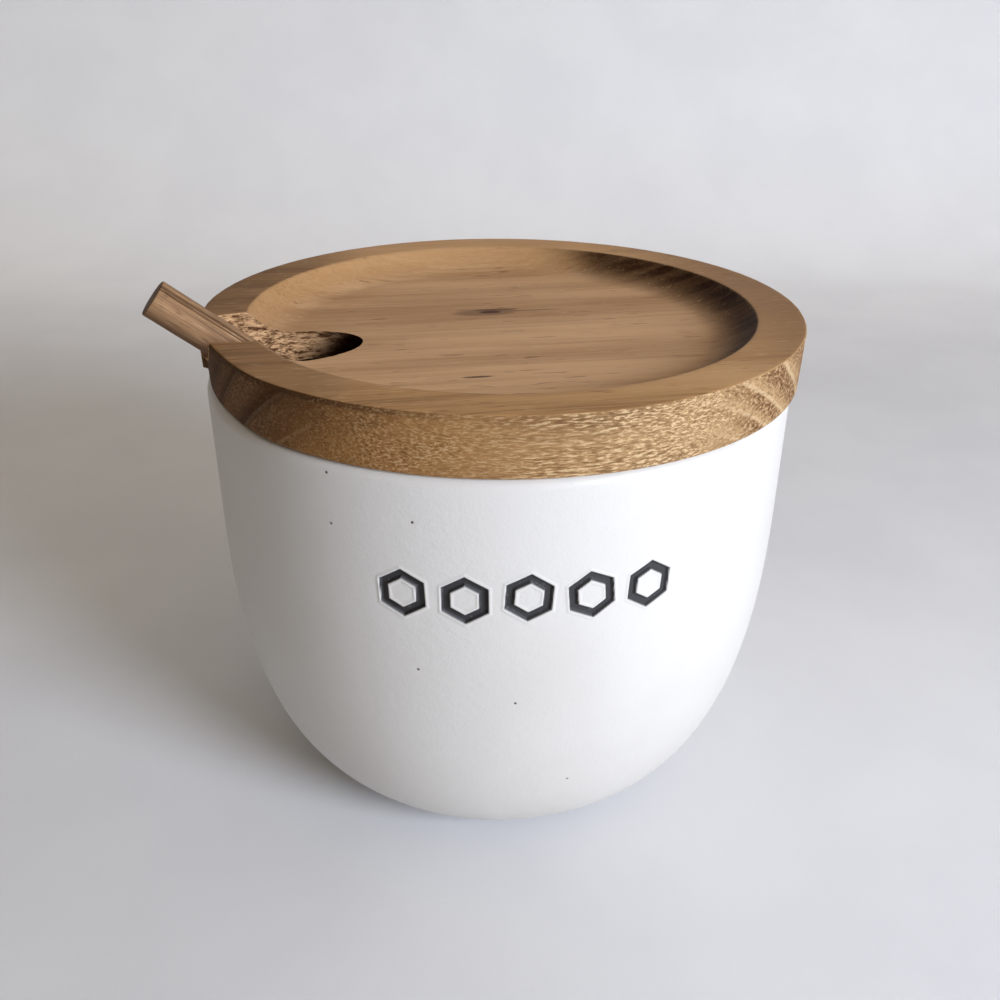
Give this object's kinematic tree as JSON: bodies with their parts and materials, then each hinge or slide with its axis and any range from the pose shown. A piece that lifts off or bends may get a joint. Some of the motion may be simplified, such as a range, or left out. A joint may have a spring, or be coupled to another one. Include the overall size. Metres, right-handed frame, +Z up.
{
  "type": "stoneware honey pot",
  "caption": "Round white glazed stoneware pot with a dished wooden lid and a plain wooden stick leaning in the slanted bore through the lid's rim.",
  "frame": {"origin": "on the resting plane, under the middle of the pot's foot", "axes": "+Z up; the stamped front faces -Y; the stick leans out to -X"},
  "size_m": [0.1205, 0.115, 0.1076],
  "materials": {
    "glaze": "satin white glaze",
    "lid_wood": "oiled, fine grain",
    "stick_wood": "oiled, fine grain"
  },
  "bodies": {
    "root": {"pot": "glaze", "lid": "lid_wood", "stick": "stick_wood"}
  },
  "joints": []
}
